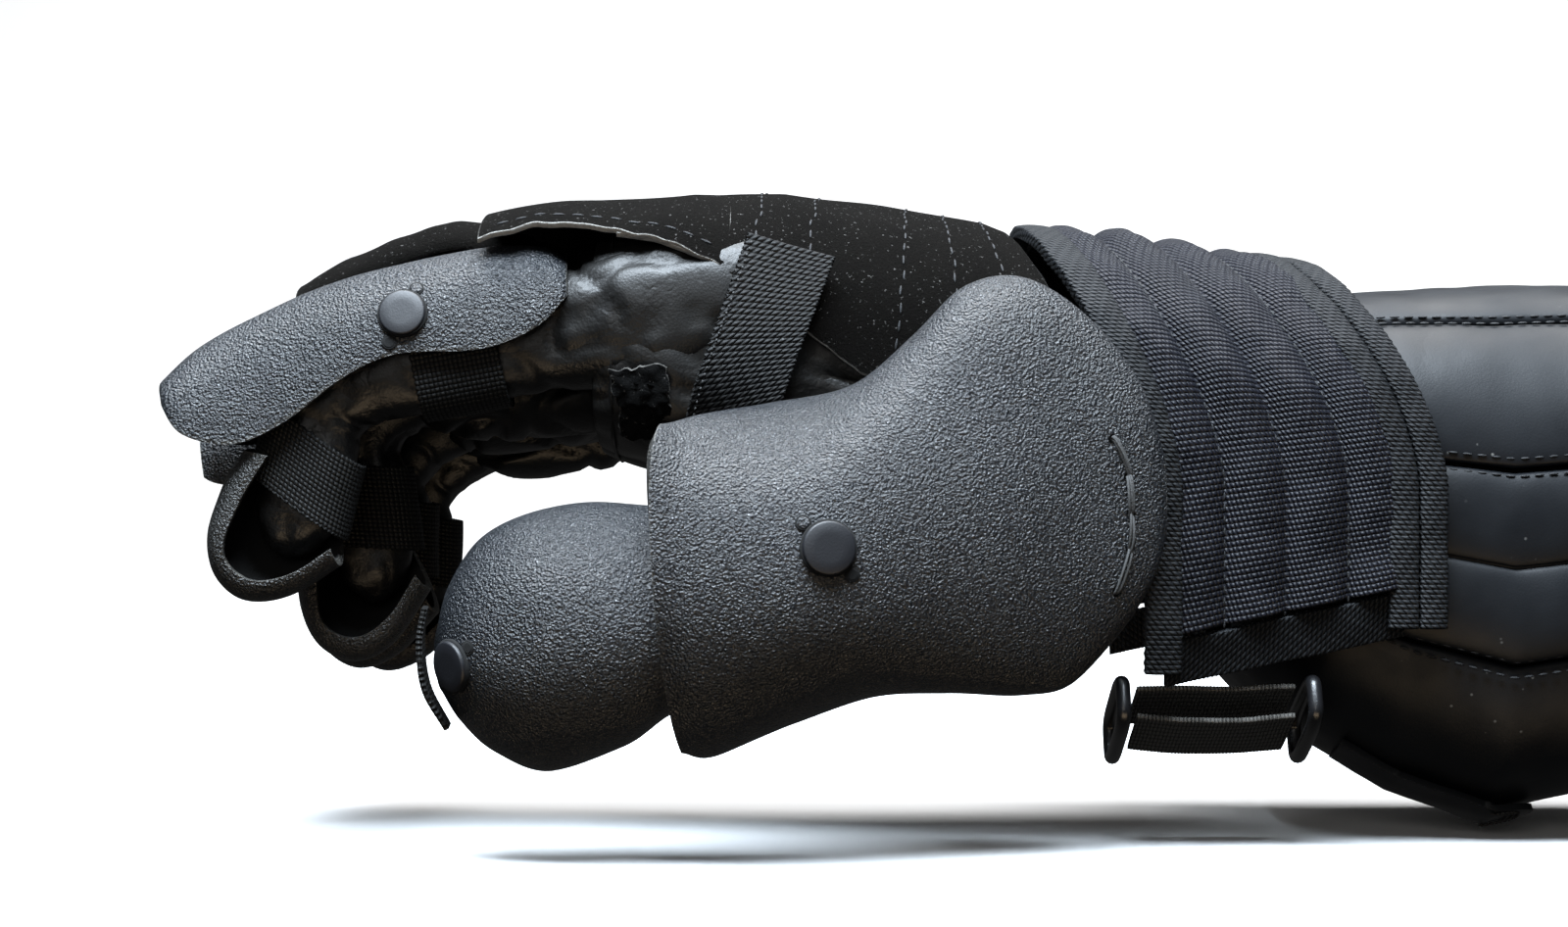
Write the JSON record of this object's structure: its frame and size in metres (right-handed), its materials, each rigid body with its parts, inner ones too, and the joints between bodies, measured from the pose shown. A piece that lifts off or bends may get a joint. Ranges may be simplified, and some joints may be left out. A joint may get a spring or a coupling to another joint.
{
  "type": "armoured protective glove",
  "caption": "Armoured protective glove with riveted finger and thumb plates over leather stalls, padded wrist cuff and a padded forearm guard it is worn over.",
  "frame": {"origin": "centre of the forearm guard's arm opening, in the plane of its bound end", "axes": "+X from the fingers towards the elbow, +Y towards the little finger's side, +Z out of the back of the hand"},
  "size_m": [0.432, 0.1573, 0.1501],
  "materials": {
    "forearm_liner": "soft lining cloth",
    "forearm_top": "satin coated synthetic leather",
    "forearm_near": "satin coated synthetic leather",
    "forearm_near_channels": "satin coated synthetic leather",
    "forearm_far": "satin coated synthetic leather",
    "forearm_far_channels": "satin coated synthetic leather",
    "forearm_bottom": "satin coated synthetic leather",
    "elbow_binding": "woven black webbing",
    "forearm_tab": "satin coated synthetic leather",
    "cuff_pad": "coarse woven nylon over padding",
    "cuff_binding_front": "woven black webbing",
    "cuff_binding_rear": "woven black webbing",
    "cuff_hem_near": "woven black webbing",
    "cuff_hem_far": "woven black webbing",
    "wrist_strap": "woven black webbing",
    "strap_anchor": "woven black webbing",
    "strap_loop_front": "moulded plastic hardware",
    "strap_ring_rear": "moulded plastic hardware",
    "palm_leather": "soft black leather",
    "knuckle_flap": "napped black suede",
    "hand_back_suede": "napped black suede",
    "hand_strap": "woven black webbing",
    "hook_patch": "hook fastening pile",
    "thumb_plate": "orange-peel textured thermoplastic",
    "thumb_plate_rivet": "smooth dark rivet cap",
    "thumb_plate_stitch": "heavy thread",
    "thumb_stall_base": "soft black leather",
    "thumb_dome": "orange-peel textured thermoplastic",
    "thumb_dome_rivet": "smooth dark rivet cap",
    "thumb_stall_tip": "soft black leather",
    "thumb_band": "woven black webbing",
    "index_stall_base": "soft black leather",
    "index_plate": "orange-peel textured thermoplastic",
    "index_rivet": "smooth dark rivet cap",
    "index_base_band": "woven black webbing",
    "index_stall_tip": "soft black leather",
    "index_tip_band": "woven black webbing",
    "index_cap": "orange-peel textured thermoplastic",
    "middle_stall_base": "soft black leather",
    "middle_plate": "orange-peel textured thermoplastic",
    "middle_rivet": "smooth dark rivet cap",
    "middle_base_band": "woven black webbing",
    "middle_back_strip": "napped black suede",
    "middle_stall_tip": "soft black leather",
    "middle_tip_band": "woven black webbing",
    "middle_cap": "orange-peel textured thermoplastic",
    "ring_stall_base": "soft black leather",
    "ring_plate": "orange-peel textured thermoplastic",
    "ring_rivet": "smooth dark rivet cap",
    "ring_base_band": "woven black webbing",
    "ring_stall_tip": "soft black leather",
    "ring_tip_band": "woven black webbing",
    "ring_cap": "orange-peel textured thermoplastic",
    "little_stall_base": "soft black leather",
    "little_plate": "orange-peel textured thermoplastic",
    "little_rivet": "smooth dark rivet cap",
    "little_base_band": "woven black webbing",
    "little_stall_tip": "soft black leather",
    "little_tip_band": "woven black webbing",
    "little_cap": "orange-peel textured thermoplastic"
  },
  "bodies": {
    "forearm": {"forearm_liner": "forearm_liner", "forearm_top": "forearm_top", "forearm_near": "forearm_near", "forearm_near_channels": "forearm_near_channels", "forearm_far": "forearm_far", "forearm_far_channels": "forearm_far_channels", "forearm_bottom": "forearm_bottom", "elbow_binding": "elbow_binding", "forearm_tab": "forearm_tab", "cuff_pad": "cuff_pad", "cuff_binding_front": "cuff_binding_front", "cuff_binding_rear": "cuff_binding_rear", "cuff_hem_near": "cuff_hem_near", "cuff_hem_far": "cuff_hem_far", "wrist_strap": "wrist_strap", "strap_anchor": "strap_anchor", "strap_loop_front": "strap_loop_front"},
    "strap_ring": {"strap_ring_rear": "strap_ring_rear"},
    "hand": {"palm_leather": "palm_leather", "knuckle_flap": "knuckle_flap", "hand_back_suede": "hand_back_suede", "hand_strap": "hand_strap", "hook_patch": "hook_patch"},
    "thumb_base": {"thumb_plate": "thumb_plate", "thumb_plate_rivet": "thumb_plate_rivet", "thumb_plate_stitch": "thumb_plate_stitch", "thumb_stall_base": "thumb_stall_base"},
    "thumb_tip": {"thumb_dome": "thumb_dome", "thumb_dome_rivet": "thumb_dome_rivet", "thumb_stall_tip": "thumb_stall_tip", "thumb_band": "thumb_band"},
    "index_base": {"index_stall_base": "index_stall_base", "index_plate": "index_plate", "index_rivet": "index_rivet", "index_base_band": "index_base_band"},
    "index_tip": {"index_stall_tip": "index_stall_tip", "index_tip_band": "index_tip_band", "index_cap": "index_cap"},
    "middle_base": {"middle_stall_base": "middle_stall_base", "middle_plate": "middle_plate", "middle_rivet": "middle_rivet", "middle_base_band": "middle_base_band", "middle_back_strip": "middle_back_strip"},
    "middle_tip": {"middle_stall_tip": "middle_stall_tip", "middle_tip_band": "middle_tip_band", "middle_cap": "middle_cap"},
    "ring_base": {"ring_stall_base": "ring_stall_base", "ring_plate": "ring_plate", "ring_rivet": "ring_rivet", "ring_base_band": "ring_base_band"},
    "ring_tip": {"ring_stall_tip": "ring_stall_tip", "ring_tip_band": "ring_tip_band", "ring_cap": "ring_cap"},
    "little_base": {"little_stall_base": "little_stall_base", "little_plate": "little_plate", "little_rivet": "little_rivet", "little_base_band": "little_base_band"},
    "little_tip": {"little_stall_tip": "little_stall_tip", "little_tip_band": "little_tip_band", "little_cap": "little_cap"}
  },
  "joints": [
    {"name": "wrist_flex", "type": "hinge", "parent": "forearm", "child": "hand", "pos_m": [-0.2, 0, 0.012], "axis": [0, -1, 0], "range_deg": [-20, 12], "deforming": ["cuff_pad", "cuff_binding_front"]},
    {"name": "strap_ring_swing", "type": "hinge", "parent": "forearm", "child": "strap_ring", "pos_m": [-0.1683, -0.043, -0.0402], "axis": [0, 1, 0], "range_deg": [-12, 12]},
    {"name": "thumb_swing", "type": "hinge", "parent": "hand", "child": "thumb_base", "pos_m": [-0.21, -0.063, 0], "axis": [0, 0, 1], "range_deg": [0, 25]},
    {"name": "thumb_tip_bend", "type": "hinge", "parent": "thumb_base", "child": "thumb_tip", "pos_m": [-0.312, -0.0725, -0.0228], "axis": [0, 0, -1], "range_deg": [-8, 25]},
    {"name": "index_knuckle", "type": "hinge", "parent": "hand", "child": "index_base", "pos_m": [-0.3314, -0.043, 0.0452], "axis": [0, -1, 0], "range_deg": [0, 35]},
    {"name": "index_middle_joint", "type": "hinge", "parent": "index_base", "child": "index_tip", "pos_m": [-0.3919, -0.043, 0.0338], "axis": [0, -1, 0], "range_deg": [-8, 36]},
    {"name": "middle_knuckle", "type": "hinge", "parent": "hand", "child": "middle_base", "pos_m": [-0.3314, -0.014, 0.0515], "axis": [0, -1, 0], "range_deg": [0, 35]},
    {"name": "middle_middle_joint", "type": "hinge", "parent": "middle_base", "child": "middle_tip", "pos_m": [-0.39188, -0.014, 0.02868], "axis": [0, -1, 0], "range_deg": [-8, 20]},
    {"name": "ring_knuckle", "type": "hinge", "parent": "hand", "child": "ring_base", "pos_m": [-0.3314, 0.015, 0.0505], "axis": [0, -1, 0], "range_deg": [0, 31]},
    {"name": "ring_middle_joint", "type": "hinge", "parent": "ring_base", "child": "ring_tip", "pos_m": [-0.38704, 0.015, 0.02008], "axis": [0, -1, 0], "range_deg": [-5, 20]},
    {"name": "little_knuckle", "type": "hinge", "parent": "hand", "child": "little_base", "pos_m": [-0.3314, 0.044, 0.0435], "axis": [0, -1, 0], "range_deg": [0, 22]},
    {"name": "little_middle_joint", "type": "hinge", "parent": "little_base", "child": "little_tip", "pos_m": [-0.38434, 0.044, 0.01455], "axis": [0, -1, 0], "range_deg": [-3, 12]}
  ]
}
